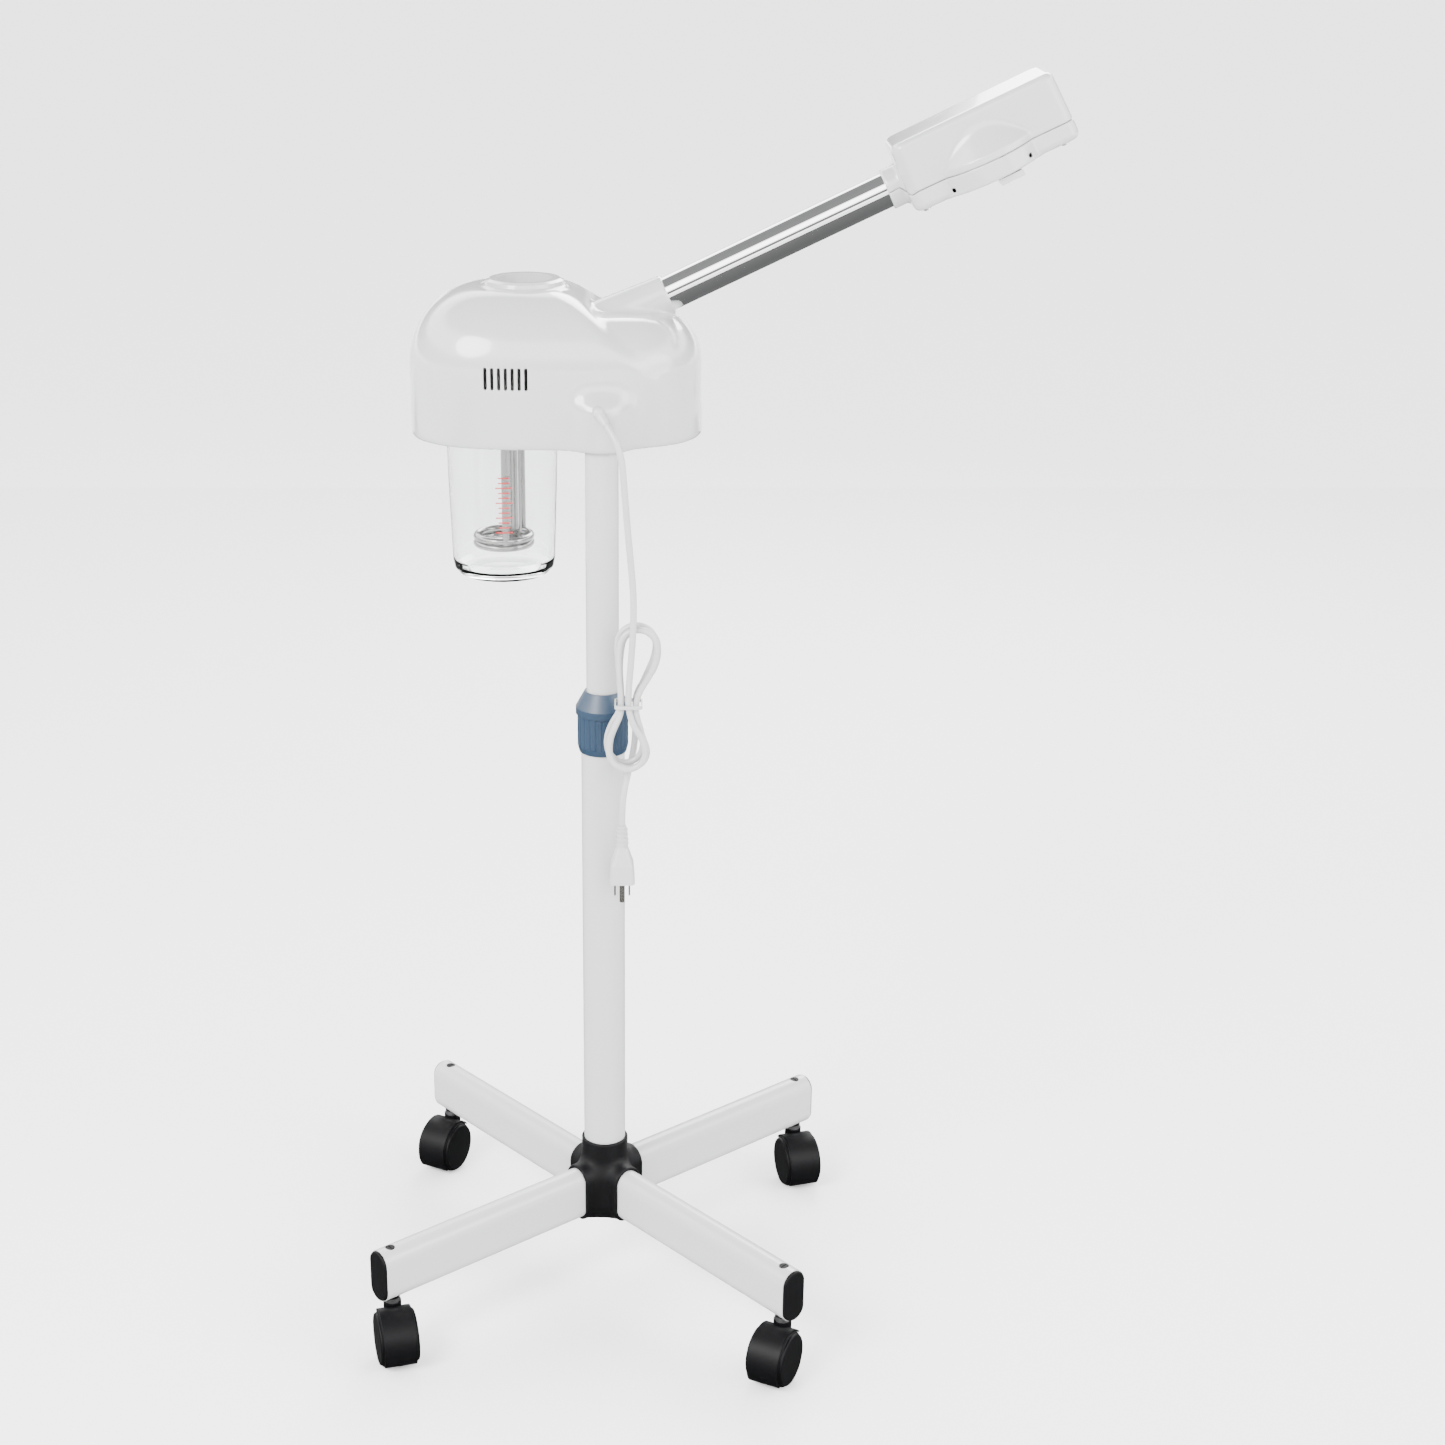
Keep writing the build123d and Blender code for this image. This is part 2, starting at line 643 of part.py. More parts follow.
def nozzle_chamber():
    """Cup over the outlet that the hose blows into."""
    cup = turned([(0, 9), (22, 9), (24, 7), (24, -15), (22.4, -15), (22.4, 6.5), (21.4, 7.4), (0, 7.4)])
    cup = Pos(outlet_x, 0, 0) * cup
    inlet = Pos(hose_end + 0.5, 0, 0) * along_arm * rod(hose_r, 0, outlet_x - hose_end - 20)
    bore = Pos(hose_end - 1, 0, 0) * along_arm * rod(hose_bore_r - 0.7, 0, outlet_x - hose_end - 10)
    inside = Pos(outlet_x, 0, 0) * rod(22.4, -15, 7.4)
    return arm_frame * (cup + (inlet - inside) - bore)


def outlet_turret():
    """Turning outlet plate with its spout and finger tab."""
    top = nozzle_bottom + nozzle_wall + 0.4
    plate = rod(turret_r, nozzle_bottom - 1, top) + rod(turret_r + 3, top, top + 2.2)
    spout = turned([(spout_r, nozzle_bottom - 3), (spout_r + 2.4, nozzle_bottom - 3),
                    (spout_r + 3.4, nozzle_bottom), (spout_r + 3.4, -16), (spout_r, -16)])
    plate = plate - rod(spout_r, nozzle_bottom - 5, 0) + spout
    tab = Pos(11, -turret_r - 2.5, 0) * block(21, 17, nozzle_bottom - 6, nozzle_bottom - 0.7)
    tab = fillet(tab.edges().filter_by(Axis.Y), 1.5)
    return arm_frame * Pos(outlet_x, 0, 0) * (plate + tab)


# ---------------------------------------------------------------- cord
def arc_radii(points):
    """The largest tangent arc for each corner of a route, from its two runs."""
    radii = []
    for before, corner, after in zip(points, points[1:], points[2:]):
        run_in, run_out = corner - before, after - corner
        half_turn = math.radians(run_in.get_angle(run_out)) / 2
        radii.append(0.45 * min(run_in.length, run_out.length) / math.tan(half_turn))
    return radii


def cord_tube(route, name):
    points = [Vector(*p) for p in route]
    radii = arc_radii(points)
    path = FilletPolyline(*points, radius=radii)
    section = Plane(origin=points[0], z_dir=points[1] - points[0]) * Circle(cord_r)
    tube = sweep(section, path=path)
    print(name, "length", round(path.length, 1), "radii", [round(r) for r in radii],
          "volume ratio", round(tube.volume / (math.pi * cord_r ** 2 * path.length), 4))
    return tube


def cord_hank():
    """Outer shape of the tied hank: an upper and a lower lobe with a waist at the tie."""
    upper = [(12, 572), (12.5, 606), (16, 628), (23, 646), (36, 646), (46, 638), (48.5, 628), (42, 592), (33, 572)]
    lower = [(12, 576), (5.5, 556), (3, 538), (7, 522), (16, 514), (27, 514), (36, 521), (38.5, 538), (33, 576)]
    hank = None
    for outline in (upper, lower):
        sheet = make_face(Polyline(*[(x, 0, z) for x, z in outline], close=True))
        lobe = Pos(0, plug_y - hank_thickness / 2, 0) * extrude(sheet, amount=hank_thickness, dir=(0, 1, 0))
        hank = lobe if hank is None else hank + lobe
    return hank


def hank_tie():
    """Twisted wire tie round the hank's waist."""
    ring = RectangleRounded(24, hank_thickness + 3, 4) - RectangleRounded(21.4, hank_thickness + 0.4, 2)
    return Pos(tie_x, plug_y, tie_z) * extrude(ring, amount=1.5, both=True)


def plug_body():
    """Moulded plug: ribbed strain relief, waist and a flat face for the pins."""
    relief = turned([(0, plug_body_top_z), (5.2, plug_body_top_z), (3.8, plug_top_z), (0, plug_top_z)])
    for index in range(4):
        z = plug_body_top_z + 3.5 + index * 4.2
        relief += rod(5.6 - 0.25 * index, z - 1.1, z + 1.1)
    sections = [Pos(0, 0, plug_body_top_z) * RectangleRounded(10, 10, 3),
                Pos(0, 0, plug_body_top_z - 16) * RectangleRounded(20, 22, 4),
                Pos(0, 0, plug_face_z) * RectangleRounded(22.3, 25, 4)]
    body = loft(sections[:2]) + loft(sections[1:])
    return plug_xy * (relief + body)


def plug_pins():
    pins = [Pos(0, -6, 0) * rod(ground_pin_r, plug_face_z - ground_pin_length, plug_face_z)]
    for side in (-1, 1):
        pins.append(Pos(6.35 * side, 5.9, 0) * block(1.5, 6.3, plug_face_z - 16, plug_face_z))
    return [plug_xy * pin for pin in pins]


# ---------------------------------------------------------------- write every piece
save(hub(), "base_hub")
leg_solid, plug_solid, screw_solid = leg(), leg_end_plug(), top_screw()
turns = [Rot(0, 0, leg_angle(index)) for index in range(leg_count)]
for index, turn in enumerate(turns):
    save(turn * leg_solid, f"leg_{index + 1}")
save([turn * plug_solid for turn in turns], "leg_end_plugs")
save([turn * screw_solid for turn in turns], "leg_screws")
save(lower_pole(), "lower_pole")
save(clamp_bush(), "clamp_bush")
save(clamp_collar(), "clamp_collar")
save(upper_pole(), "upper_pole")
save(pole_foot(), "pole_foot")

hood_solid, pins_solid = caster_hood(), caster_pins()
wheel_solids = {"a": caster_wheel(-1), "b": caster_wheel(1)}
for index in range(leg_count):
    place = caster_place(index)
    save(place * hood_solid, f"caster_{index + 1}_hood")
    save([place * pin for pin in pins_solid], f"caster_{index + 1}_pins")
    for letter, wheel in wheel_solids.items():
        save(place * wheel, f"caster_{index + 1}_wheel_{letter}")

for build in (head_shell, bottom_plate, jar_ring, jar, jar_seal, heater_lid, heater_coil,
              water_sensors, ozone_lamp, ozone_ballast, terminal_block, filler_funnel, filler_cap,
              head_screws, cord_gland, front_panel, indicator_lamps, arm_tube, steam_hose,
              nozzle_upper, nozzle_lower, nozzle_screws, nozzle_chamber, outlet_turret,
              cord_hank, hank_tie, plug_body, plug_pins):
    save(build(), build.__name__)
save(rocker(-1), "power_rocker")
save(rocker(1), "ozone_rocker")
save(cord_tube(lead_route, "cord_lead"), "cord_lead")
save(cord_tube(tail_route, "cord_tail"), "cord_tail")
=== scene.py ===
import json
import math

import bmesh
import bpy
import numpy as np
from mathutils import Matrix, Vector


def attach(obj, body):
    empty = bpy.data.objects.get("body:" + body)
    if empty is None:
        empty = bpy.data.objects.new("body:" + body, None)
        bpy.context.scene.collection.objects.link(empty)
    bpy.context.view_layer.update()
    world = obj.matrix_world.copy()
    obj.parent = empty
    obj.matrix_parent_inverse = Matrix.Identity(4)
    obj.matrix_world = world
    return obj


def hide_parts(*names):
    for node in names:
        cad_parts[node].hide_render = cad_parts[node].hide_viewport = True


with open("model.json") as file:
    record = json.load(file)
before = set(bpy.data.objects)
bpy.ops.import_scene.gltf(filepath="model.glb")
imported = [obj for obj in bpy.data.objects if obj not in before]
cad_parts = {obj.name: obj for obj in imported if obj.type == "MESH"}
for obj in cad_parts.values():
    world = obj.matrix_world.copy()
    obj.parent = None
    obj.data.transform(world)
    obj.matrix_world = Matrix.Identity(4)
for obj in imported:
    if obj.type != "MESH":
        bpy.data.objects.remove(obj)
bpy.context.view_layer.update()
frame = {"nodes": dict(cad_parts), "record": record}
MM = 0.001

# ------------------------------------------------------------------ dimensions, millimetres
HEAD_CENTER = (-39.4, 86.0)
HEAD_HALF = (124.8, 90.0)
HEAD_BOTTOM = 785.0
FILLER = (-66.0, 86.0)
ARM_ORIGIN = (56.6, 86.0, 900.3)
ARM_TILT = math.radians(25.25)
CORD_RADIUS = 2.8
LEG_ANGLES = [-50, 40, 130, 220]
HUB_BOTTOM, HUB_TOP = 56.5, 133
POLE_BORE_R = 19.15
OUTLET_ALONG = 286.5
NOZZLE_HALF_WIDTH = 34
NOZZLE_BOTTOM = -24
SHELL_WALL = 2.6
JAR_CENTER = (-88, 86)


# ------------------------------------------------------------------ materials
def material(name, color, rough, vary=0.03, rough_vary=0.05, scale=40.0, bump=0.02,
             bump_scale=900.0, grain=(1, 1, 1), **sockets):
    """A surface with soft tone variation, uneven gloss and a fine moulded or drawn texture."""
    made = bpy.data.materials.new(name)
    made.use_nodes = True
    nodes, links = made.node_tree.nodes, made.node_tree.links
    shader = nodes["Principled BSDF"]
    place = nodes.new("ShaderNodeTexCoord")
    mapping = nodes.new("ShaderNodeMapping")
    mapping.inputs["Scale"].default_value = grain
    links.new(place.outputs["Object"], mapping.inputs["Vector"])
    broad = nodes.new("ShaderNodeTexNoise")
    broad.inputs["Scale"].default_value = scale
    broad.inputs["Detail"].default_value = 4
    links.new(mapping.outputs["Vector"], broad.inputs["Vector"])
    tone = nodes.new("ShaderNodeValToRGB")
    low = [c * (1 - vary) for c in color]
    tone.color_ramp.elements[0].color = (*low, 1)
    tone.color_ramp.elements[0].position = 0.3
    tone.color_ramp.elements[1].color = (*color, 1)
    tone.color_ramp.elements[1].position = 0.7
    links.new(broad.outputs["Fac"], tone.inputs["Fac"])
    links.new(tone.outputs["Color"], shader.inputs["Base Color"])
    gloss = nodes.new("ShaderNodeMapRange")
    gloss.inputs["To Min"].default_value = max(rough - rough_vary, 0.01)
    gloss.inputs["To Max"].default_value = rough + rough_vary
    links.new(broad.outputs["Fac"], gloss.inputs["Value"])
    links.new(gloss.outputs["Result"], shader.inputs["Roughness"])
    fine = nodes.new("ShaderNodeTexNoise")
    fine.inputs["Scale"].default_value = bump_scale
    fine.inputs["Detail"].default_value = 2
    links.new(mapping.outputs["Vector"], fine.inputs["Vector"])
    relief = nodes.new("ShaderNodeBump")
    relief.inputs["Strength"].default_value = bump
    relief.inputs["Distance"].default_value = 0.0004
    links.new(fine.outputs["Fac"], relief.inputs["Height"])
    links.new(relief.outputs["Normal"], shader.inputs["Normal"])
    for socket, value in sockets.items():
        shader.inputs[socket.replace("_", " ")].default_value = value
    return made


LOOKS = {
    "white_plastic": material("white_plastic", (0.42, 0.42, 0.425), 0.16, vary=0.01, bump=0.01,
                              Coat_Weight=0.35),
    "white_paint": material("white_paint", (0.44, 0.44, 0.445), 0.24, vary=0.01, bump=0.05,
                            bump_scale=1500),
    "black_plastic": material("black_plastic", (0.003, 0.003, 0.0035), 0.55, vary=0.2, bump=0.12,
                              bump_scale=2200, Specular_IOR_Level=0.12),
    "caster_plastic": material("caster_plastic", (0.002, 0.002, 0.0025), 0.5, vary=0.2,
                               bump=0.08, bump_scale=1800,
                               Specular_IOR_Level=0.12),
    "blue_grey_plastic": material("blue_grey_plastic", (0.010, 0.028, 0.056), 0.45, vary=0.06,
                                  bump=0.08),
    "chrome": material("chrome", (0.86, 0.87, 0.88), 0.05, vary=0.01, rough_vary=0.015,
                       bump=0.004, Metallic=1.0),
    "stainless": material("stainless", (0.24, 0.235, 0.23), 0.16, vary=0.05, grain=(1, 1, 0.15),
                          Metallic=1.0),
    "zinc_steel": material("zinc_steel", (0.55, 0.55, 0.56), 0.3, vary=0.06, Metallic=1.0),
    "jar_glass": material("jar_glass", (0.97, 0.985, 0.985), 0.02, vary=0.005, rough_vary=0.008,
                          bump=0.004,
                          Transmission_Weight=1.0, IOR=1.46),
    "silicone": material("silicone", (0.78, 0.78, 0.76), 0.5, bump=0.05),
    "heater_plastic": material("heater_plastic", (0.74, 0.74, 0.72), 0.4, bump=0.08),
    "lamp_glass": material("lamp_glass", (0.9, 0.9, 0.97), 0.04, rough_vary=0.02,
                           Transmission_Weight=0.9),
    "terminal_plastic": material("terminal_plastic", (0.7, 0.66, 0.55), 0.5, bump=0.1),
    "ballast_case": material("ballast_case", (0.18, 0.19, 0.21), 0.45, bump=0.1),
    "panel_plastic": material("panel_plastic", (0.55, 0.59, 0.63), 0.38, bump=0.1, bump_scale=1600),
    "rocker_plastic": material("rocker_plastic", (0.02, 0.02, 0.022), 0.15, vary=0.1,
                               Coat_Weight=0.4),
    "lamp_lens": material("lamp_lens", (0.65, 0.06, 0.03), 0.1, vary=0.15, Transmission_Weight=0.3),
    "cord_pvc": material("cord_pvc", (0.42, 0.42, 0.42), 0.3, vary=0.02, bump=0.05, bump_scale=700),
    "pin_brass": material("pin_brass", (0.62, 0.60, 0.55), 0.2, vary=0.06, Metallic=1.0),
    "mark_red": material("mark_red", (0.50, 0.03, 0.03), 0.4, vary=0.15),
}

for part in frame["record"]["subparts"]:
    node = frame["nodes"][part["node"]]
    node.data.materials.clear()
    node.data.materials.append(LOOKS[part["material_slot"]])
for name in ("leg_screws",):
    frame["nodes"][name].data.materials[0] = LOOKS["caster_plastic"]


# ------------------------------------------------------------------ meshing helpers
def gradient(field, points):
    e = 0.05
    g = np.empty_like(points)
    for axis in range(3):
        d = np.zeros(3)
        d[axis] = e
        g[:, axis] = (field(*(points + d).T) - field(*(points - d).T)) / (2 * e)
    return g


def skin(field, low, high, step):
    """The zero surface of a distance-like field, as vertices and outward quads."""
    axes = [np.arange(a, b + step, step) for a, b in zip(low, high)]
    values = field(*np.meshgrid(*axes, indexing="ij"))
    inside = values < 0
    n = [len(a) - 1 for a in axes]
    corners = [(i, j, k) for i in (0, 1) for j in (0, 1) for k in (0, 1)]

    def at(array, c):
        return array[c[0]:c[0] + n[0], c[1]:c[1] + n[1], c[2]:c[2] + n[2]]
    count = sum(at(inside, c).astype(np.int8) for c in corners)
    cells = np.argwhere((count > 0) & (count < 8))
    index = -np.ones(n, dtype=np.int64)
    index[tuple(cells.T)] = np.arange(len(cells))
    total, hits = np.zeros((len(cells), 3)), np.zeros(len(cells))
    for a in corners:
        for axis in range(3):
            if a[axis]:
                continue
            b = tuple(1 if i == axis else v for i, v in enumerate(a))
            va = values[tuple((cells + a).T)]
            vb = values[tuple((cells + b).T)]
            cross = (va < 0) != (vb < 0)
            t = np.where(cross, va / np.where(cross, va - vb, 1), 0)
            point = np.array(a, dtype=float) + np.outer(t, np.eye(3)[axis])
            total += point * cross[:, None]
            hits += cross
    points = np.array(low) + (cells + total / hits[:, None]) * step
    for _ in range(3):
        g = gradient(field, points)
        d = field(*points.T)
        move = g * (d / np.maximum((g ** 2).sum(1), 0.2))[:, None]
        size = np.linalg.norm(move, axis=1, keepdims=True)
        points -= move * np.minimum(1, 0.5 * step / np.maximum(size, 1e-9))
    quads = []
    for axis in range(3):
        u, v = (axis + 1) % 3, (axis + 2) % 3
        lower = [slice(None)] * 3
        upper = [slice(None)] * 3
        lower[axis], upper[axis] = slice(0, -1), slice(1, None)
        a, b = inside[tuple(lower)], inside[tuple(upper)]
        edges = np.argwhere(a != b)
        edges = edges[(edges[:, u] > 0) & (edges[:, v] > 0) & (edges[:, u] < n[u]) & (edges[:, v] < n[v])]
        out = a[tuple(edges.T)]
        ring = []
        for du, dv in ((0, 0), (-1, 0), (-1, -1), (0, -1)):
            c = edges.copy()
            c[:, u] += du
            c[:, v] += dv
            ring.append(index[tuple(c.T)])
        ring = np.stack(ring, 1)
        quads.append(np.where(out[:, None], ring, ring[:, ::-1]))
    return points, np.concatenate(quads)


def mesh_piece(name, points, faces, look, body, slot, *nodes):
    """A smooth piece from millimetre points that rides on a body and stands for the given nodes."""
    mesh = bpy.data.meshes.new(name)
    mesh.from_pydata((np.asarray(points) * MM).tolist(), [], [list(map(int, f)) for f in faces])
    mesh.update()
    mesh.polygons.foreach_set("use_smooth", [True] * len(mesh.polygons))
    mesh.materials.append(LOOKS[look])
    piece = bpy.data.objects.new(name, mesh)
    bpy.context.scene.collection.objects.link(piece)
    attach(piece, body)
    if nodes:
        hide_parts(*nodes)
    return piece


def apply_modifiers(piece):
    bpy.context.view_layer.update()
    done = bpy.data.meshes.new_from_object(piece.evaluated_get(bpy.context.evaluated_depsgraph_get()))
    piece.modifiers.clear()
    piece.data = done


def join(a, b, k):
    """Smooth union."""
    h = np.maximum(k - np.abs(a - b), 0) / k
    return np.minimum(a, b) - h * h * k / 4


def meet(a, b, k=0.0):
    """Smooth intersection."""
    return -join(-a, -b, k) if k else np.maximum(a, b)


def edge(a, b, r):
    """Intersection with a rounded edge of radius r."""
    p, q = a + r, b + r
    return np.hypot(np.maximum(p, 0), np.maximum(q, 0)) + np.minimum(np.maximum(p, q), 0) - r


def to_arm(x, y, z):
    """Coordinates along the arm, sideways, and across it."""
    c, s = math.cos(ARM_TILT), math.sin(ARM_TILT)
    x, z = x - ARM_ORIGIN[0], z - ARM_ORIGIN[2]
    return x * c + z * s, y - ARM_ORIGIN[1], z * c - x * s


def from_arm(points):
    c, s = math.cos(ARM_TILT), math.sin(ARM_TILT)
    u, y, v = np.asarray(points).T
    return np.stack([ARM_ORIGIN[0] + u * c - v * s, ARM_ORIGIN[1] + y, ARM_ORIGIN[2] + u * s + v * c], 1)


# ------------------------------------------------------------------ head shell
def head_field(x, y, z):
    px, py = (x - HEAD_CENTER[0]) / HEAD_HALF[0], (y - HEAD_CENTER[1]) / HEAD_HALF[1]
    power = 2.8
    norm = np.maximum((np.abs(px) ** power + np.abs(py) ** power), 1e-9) ** (1 / power)
    gx = (np.abs(px) / norm) ** (power - 1) / HEAD_HALF[0]
    gy = (np.abs(py) / norm) ** (power - 1) / HEAD_HALF[1]
    plan = (norm - 1) / np.maximum(np.hypot(gx, gy), 1 / HEAD_HALF[0])
    low_dome = edge(plan, z - 888, 45)
    mound = edge(plan, z - 908, 60)
    slope = 0.643 * (x + 3) + 0.766 * (z - 888)
    shape = join(low_dome, meet(mound, slope, 12), 4)
    u, side, v = to_arm(x, y, z)
    socket = np.hypot(side, v) - (17 - 0.07 * np.minimum(u, 0))
    socket = meet(edge(socket, u, 1.5), -60 - u)
    shape = join(shape, socket, 4)
    ring = edge(np.hypot(x - FILLER[0], y - FILLER[1]) - 35.5, z - 909, 1.5)
    shape = join(shape, meet(ring, 890 - z), 4)
    boss = edge(np.hypot(x, y) - 18.4, z - 826, 9)
    shape = join(shape, boss, 22)
    return edge(shape, HEAD_BOTTOM - z, 3)


def head():
    points, faces = skin(head_field, (-172, -24, 780), (92, 181, 922), 2.0)
    centre = points[faces].mean(1)
    hole = (np.hypot(centre[:, 0] - FILLER[0], centre[:, 1] - FILLER[1]) < 30) & (centre[:, 2] > 900)
    bottom = centre[:, 2] < HEAD_BOTTOM + 0.9
    piece = mesh_piece("head_shell_moulding", points, faces[~(hole | bottom)], "white_plastic", "head",
                       "white_plastic", "head_shell")
    wall = piece.modifiers.new("wall", "SOLIDIFY")
    wall.thickness, wall.offset = SHELL_WALL * MM, -1
    cutter = bmesh.new()
    for i in range(7):
        x = -96.4 + 5.67 * i
        outline = [(x + 1.4 * math.cos(a), 845 + s * 7.9 + 1.4 * math.sin(a))
                   for s, start in ((1, 0), (-1, math.pi)) for a in np.linspace(start, start + math.pi, 9)]
        near = [cutter.verts.new((px * MM, -0.012, pz * MM)) for px, pz in outline]
        far = [cutter.verts.new((px * MM, 0.016, pz * MM)) for px, pz in outline]
        cutter.faces.new(near)
        cutter.faces.new(far[::-1])
        for j in range(len(near)):
            cutter.faces.new([near[j - 1], far[j - 1], far[j], near[j]])
    bmesh.ops.recalc_face_normals(cutter, faces=cutter.faces)
    tool_mesh = bpy.data.meshes.new("vent_tool")
    cutter.to_mesh(tool_mesh)
    cutter.free()
    tool = bpy.data.objects.new("vent_tool", tool_mesh)
    bpy.context.scene.collection.objects.link(tool)
    vents = piece.modifiers.new("vents", "BOOLEAN")
    vents.operation, vents.object, vents.solver = "DIFFERENCE", tool, "EXACT"
    apply_modifiers(piece)
    bpy.data.objects.remove(tool)
    return piece


head()


# ------------------------------------------------------------------ nozzle shells
def nozzle_form(u, y, v):
    end = (u - 361) + 0.07 * (v - 5)
    box = edge(edge(np.abs(y) - NOZZLE_HALF_WIDTH, np.maximum(216 - u, end), 10),
               np.maximum(v - 35, NOZZLE_BOTTOM - v), 6)
    slope = 0.75
    radius = 51 - slope * np.maximum(v + 2, 0)
    boss = (np.hypot(u - OUTLET_ALONG, y) - radius) / np.where(v > -2, math.hypot(1, slope), 1)
    boss = edge(boss, np.maximum(NOZZLE_BOTTOM - v, v - 22), 2)
    form = join(box, boss, np.clip(2 + 0.12 * (v + 6), 2, 4))
    neck = edge(np.hypot(y, v) - 17.2, np.maximum(202 - u, u - 224), 1.5)
    return join(form, neck, 4)


def nozzle_seam(u):
    return np.interp(u, [200, 212, 218, 224, 364], [-0.8, -0.2, -8.4, -7.2, -8.0])


def nozzle_half(side):
    """The upper (side 1) or lower (side -1) moulding of the nozzle, as a hollow shell."""
    def field(u, y, v):
        form = nozzle_form(u, y, v)
        wall = np.maximum(form, -(form + 2.4))
        wall = np.maximum(wall, 14.8 - np.where(u < 230, np.hypot(y, v), 99))
        split = side * (nozzle_seam(u) - v) + 0.2
        wall = edge(wall, split, 0.5)
        if side < 0:
            opening = np.where(v < -18, 36.4 - np.hypot(u - OUTLET_ALONG, y), -99)
            wall = np.maximum(wall, opening)
            notch = np.maximum(np.abs(np.abs(u - 284.5) - 33.5) - 1.4, np.abs(v + 18.5) - 1.9)
            wall = np.maximum(wall, np.where(y < 0, -notch, -99))
        return wall
    return field


for part_name, side, v_range in (("nozzle_upper", 1, (-12, 38)), ("nozzle_lower", -1, (-27, 4))):
    points, faces = skin(nozzle_half(side), (199, -55, v_range[0]), (367, 55, v_range[1]), 1.2)
    mesh_piece(part_name + "_moulding", from_arm(points), faces, "white_plastic", "nozzle",
               "white_plastic", part_name)


# ------------------------------------------------------------------ hub
def hub_field(x, y, z):
    r = np.hypot(x, y)
    flare = 0.0022 * np.maximum(128 - z, 0) ** 1.6
    shape = edge(r - 21.5 - flare, np.maximum(z - HUB_TOP, HUB_BOTTOM - z), 1.5)
    sockets = np.full_like(x, 1e3)
    for angle in LEG_ANGLES:
        c, s = math.cos(math.radians(angle)), math.sin(math.radians(angle))
        along, across = x * c + y * s, y * c - x * s
        spine = np.abs(z - 83) - 12.5
        section = np.hypot(across, np.maximum(spine, 0))
        ear = edge(section - 15.5, np.maximum(along - 34, -along), 1.5)
        shape = join(shape, ear, 9)
        sockets = np.minimum(sockets, np.maximum(section - 12.5, 22 - along))
    shape = np.maximum(shape, HUB_BOTTOM - z)
    shape = np.maximum(shape, -sockets)
    return np.maximum(shape, np.where(z > 62, POLE_BORE_R - r, -99))


points, faces = skin(hub_field, (-40, -40, 54), (40, 40, 136), 1.25)
mesh_piece("hub_moulding", points, faces, "black_plastic", "stand", "black_plastic", "base_hub")


# ------------------------------------------------------------------ cord
def bow(center_x, center_z, r, y, start, stop):
    """Six control points round one end of the hank, between two angles in degrees."""
    return [(center_x + r * math.cos(math.radians(a)), y, center_z + r * math.sin(math.radians(a)))
            for a in np.linspace(start, stop, 6)]


def cord_curve():
    """The lead, three turns of the tied hank, and the tail down to the plug."""
    lead = [(4.4, -26.4, 811.8), (9.4, -32.4, 805.5), (14.0, -37.1, 796.7), (17.3, -40.4, 784.5),
            (18.8, -41.4, 765.6), (21.3, -41.6, 733.0), (24.4, -41.4, 699.5), (26.6, -43.0, 674.0),
            (26.8, -48.0, 655.0), (26.2, -51.2, 637.0), (24.4, -50.6, 612.0)]
    turns = [(22.4, -47.6, 588), (22.4, -47.0, 571), (27.0, -49.0, 556)]
    for k in range(3):
        low_y, high_y = -48.6 + 6.1 * k, -44.0 + 6.1 * k
        tie_y = -45.4 + 6.2 * k
        size = (16.2, 16.9, 15.8)[k]
        low_x, high_x = (21.4, 22.4, 19.6)[k], (31.0, 29.4, 32.2)[k]
        lift = (0.0, 1.5, -3.0)[k]
        turns += [(34.0, low_y, 546)] + bow(low_x, 533 - lift / 2, size, low_y, 0, -180)
        turns += [(low_x - 15.3, low_y, 545), (low_x - 11, low_y, 556), (16.2, tie_y, 567),
                  (16.2, tie_y, 583), (14.6, tie_y + 0.5, 604)]
        turns += bow(high_x, 626 + lift, size, high_y, 180, 0)
        turns += [(high_x + 15, high_y, 614 + lift), (high_x + 9.6, high_y, 601 + lift),
                  (33.0, high_y - 0.4, 589),
                  (28.5, tie_y, 578), (28.9, tie_y + 0.6, 563)]
    tail = [(28.6, -31.0, 549), (27.6, -29.4, 533), (24.6, -29.6, 517), (21.0, -32.5, 503),
            (18.2, -37.0, 490), (17.0, -39.6, 477), (16.8, -40.0, 462)]
    return lead + turns + tail


route = cord_curve()
line = bpy.data.curves.new("mains_cord", "CURVE")
line.dimensions = "3D"
spline = line.splines.new("NURBS")
spline.points.add(len(route) - 1)
for point, (x, y, z) in zip(spline.points, route):
    point.co = (x * MM, y * MM, z * MM, 1)
spline.order_u = 3
spline.use_endpoint_u = True
spline.resolution_u = 8
line.bevel_depth = CORD_RADIUS * MM
line.bevel_resolution = 6
line.use_fill_caps = True
line.materials.append(LOOKS["cord_pvc"])
cord = bpy.data.objects.new("mains_cord", line)
bpy.context.scene.collection.objects.link(cord)
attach(cord, "head")
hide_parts("cord_lead", "cord_hank", "cord_tail")


def curve_length():
    flat = line.copy()
    flat.bevel_depth = 0
    probe = bpy.data.objects.new("probe", flat)
    bpy.context.scene.collection.objects.link(probe)
    bpy.context.view_layer.update()
    mesh = bpy.data.meshes.new_from_object(probe.evaluated_get(bpy.context.evaluated_depsgraph_get()))
    spots = [v.co.copy() for v in mesh.vertices]
    bpy.data.objects.remove(probe)
    return sum((b - a).length for a, b in zip(spots, spots[1:]))


cord_length = curve_length()
print("cord length", round(cord_length, 4))


# ------------------------------------------------------------------ red level marks on the jar
def jar_radius(z):
    return 45.2 + (49.4 - 45.2) * (z - 669) / (796 - 669)


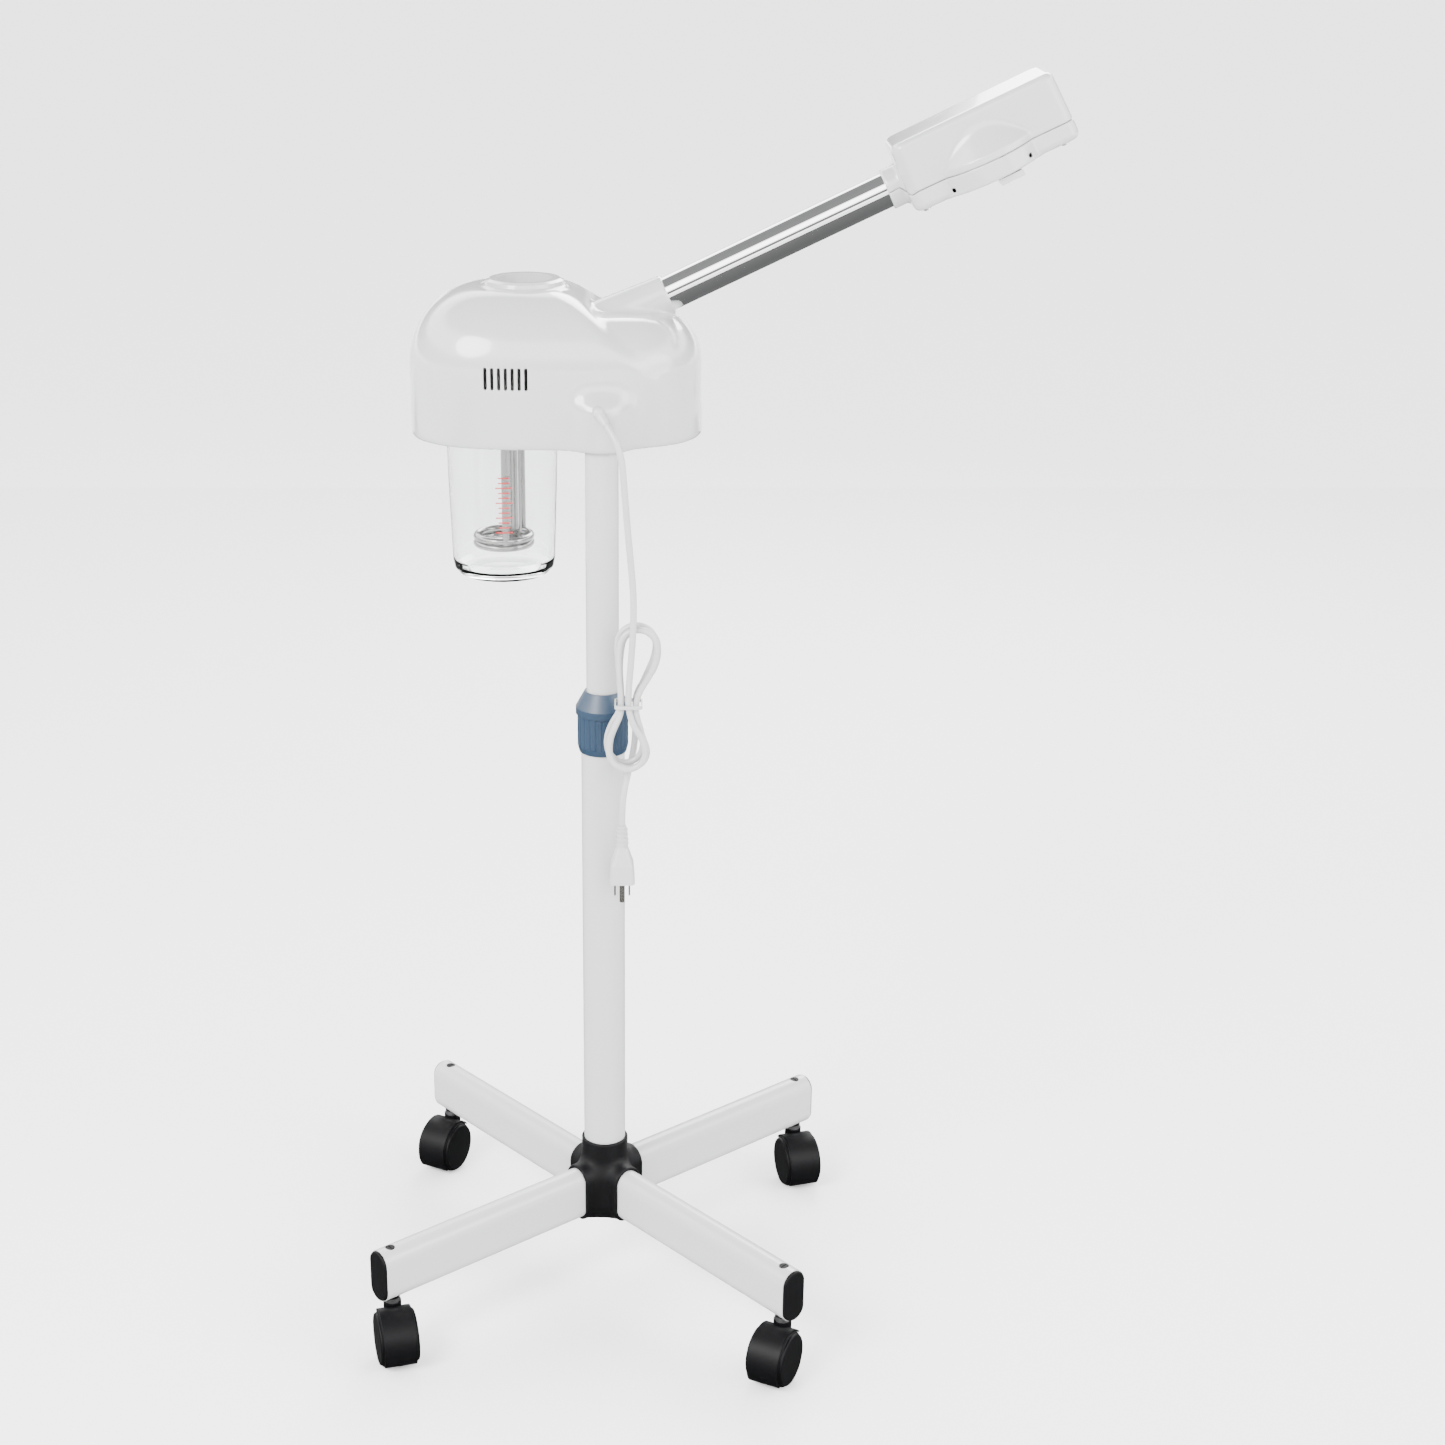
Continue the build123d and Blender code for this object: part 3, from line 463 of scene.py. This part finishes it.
verts, faces = [], []
for i in range(12):
    z = 703 + i * 4.4
    half = 9.0 if i % 3 == 0 else 6.0
    ring = []
    for a in np.linspace(-half, half, 7):
        angle = math.radians(-86 + a)
        for dz, dr in ((-0.55, 0.02), (0.55, 0.02), (0.55, 0.16), (-0.55, 0.16)):
            r = jar_radius(z) + dr
            ring.append((JAR_CENTER[0] + r * math.cos(angle), JAR_CENTER[1] + r * math.sin(angle), z + dz))
    base = len(verts)
    verts += ring
    for j in range(6):
        for k in range(4):
            a, b = base + 4 * j + k, base + 4 * j + (k + 1) % 4
            faces.append((a, a + 4, b + 4, b))
    faces += [(base, base + 1, base + 2, base + 3), (base + 27, base + 26, base + 25, base + 24)]
mesh_piece("level_marks", verts, faces, "mark_red", "jar", "lamp_lens")


# ------------------------------------------------------------------ studio
def area_light(name, place, target, size, power):
    data = bpy.data.lights.new(name, "AREA")
    data.shape, data.size, data.energy = "DISK", size, power
    lamp = bpy.data.objects.new(name, data)
    lamp.location = place
    lamp.rotation_euler = (Vector(target) - Vector(place)).to_track_quat("-Z", "Y").to_euler()
    bpy.context.scene.collection.objects.link(lamp)


area_light("key", (-1.6, -1.8, 2.3), (0, 0, 0.6), 1.4, 150)
area_light("fill", (2.0, -1.2, 1.5), (0, 0, 0.6), 1.6, 50)
area_light("rim", (0.6, 2.2, 2.0), (0, 0, 0.7), 1.4, 60)

world = bpy.data.worlds.new("studio")
bpy.context.scene.world = world
world.use_nodes = True
wn, wl = world.node_tree.nodes, world.node_tree.links
sky_place = wn.new("ShaderNodeTexCoord")
parts = wn.new("ShaderNodeSeparateXYZ")
bands = wn.new("ShaderNodeValToRGB")
shift = wn.new("ShaderNodeMapRange")
shift.inputs["From Min"].default_value = -1
wl.new(sky_place.outputs["Generated"], parts.inputs["Vector"])
wl.new(parts.outputs["Z"], shift.inputs["Value"])
wl.new(shift.outputs["Result"], bands.inputs["Fac"])
# The camera sees one plain tone; only lighting and reflections see the bands.
seen = wn.new("ShaderNodeLightPath")
backdrop = wn.new("ShaderNodeMix")
backdrop.data_type = "RGBA"
backdrop.inputs[7].default_value = (0.45, 0.45, 0.45, 1)
wl.new(seen.outputs["Is Camera Ray"], backdrop.inputs[0])
wl.new(bands.outputs["Color"], backdrop.inputs[6])
wl.new(backdrop.outputs[2], wn["Background"].inputs["Color"])
stops = [(0.0, 1.0), (0.50, 0.9), (0.53, 0.04), (0.62, 0.04), (0.68, 1.0), (0.82, 1.0), (0.87, 0.05),
         (1.0, 0.05)]
ramp = bands.color_ramp
while len(ramp.elements) < len(stops):
    ramp.elements.new(0.5)
for element, (position, level) in zip(ramp.elements, stops):
    element.position = position
    element.color = (level, level, level, 1)
wn["Background"].inputs["Strength"].default_value = 7.5

floor_mesh = bpy.data.meshes.new("floor")
reach = 30
floor_mesh.from_pydata([(-reach, -reach, 0), (reach, -reach, 0), (reach, reach, 0), (-reach, reach, 0)], [],
                       [(0, 1, 2, 3)])
floor_mesh.materials.append(material("floor", (0.98, 0.98, 0.98), 0.7, vary=0.005, bump=0.0))
floor = bpy.data.objects.new("floor", floor_mesh)
bpy.context.scene.collection.objects.link(floor)

# A dark plane just over the floor that only reflections see, so the chrome shows a dark band.
flag_mesh = bpy.data.meshes.new("flag")
side, lift = 3, 0.0004
flag_mesh.from_pydata([(-side, -side, lift), (side, -side, lift), (side, side, lift), (-side, side, lift)],
                      [], [(0, 1, 2, 3)])
flag_mesh.materials.append(material("flag", (0.02, 0.02, 0.02), 0.9))
flag = bpy.data.objects.new("flag", flag_mesh)
bpy.context.scene.collection.objects.link(flag)
flag.visible_camera = flag.visible_diffuse = flag.visible_shadow = flag.visible_transmission = False

camera = bpy.data.objects.new("camera", bpy.data.cameras.new("camera"))
bpy.context.scene.collection.objects.link(camera)
camera.location = (0.0244, -2.021, 1.2601)
camera.rotation_euler = (math.radians(90 - 22.337), 0, 0)
camera.data.sensor_width = 36
camera.data.lens = 60.91
camera.data.shift_x = 0.0635
camera.data.shift_y = 0.0828
bpy.context.scene.camera = camera
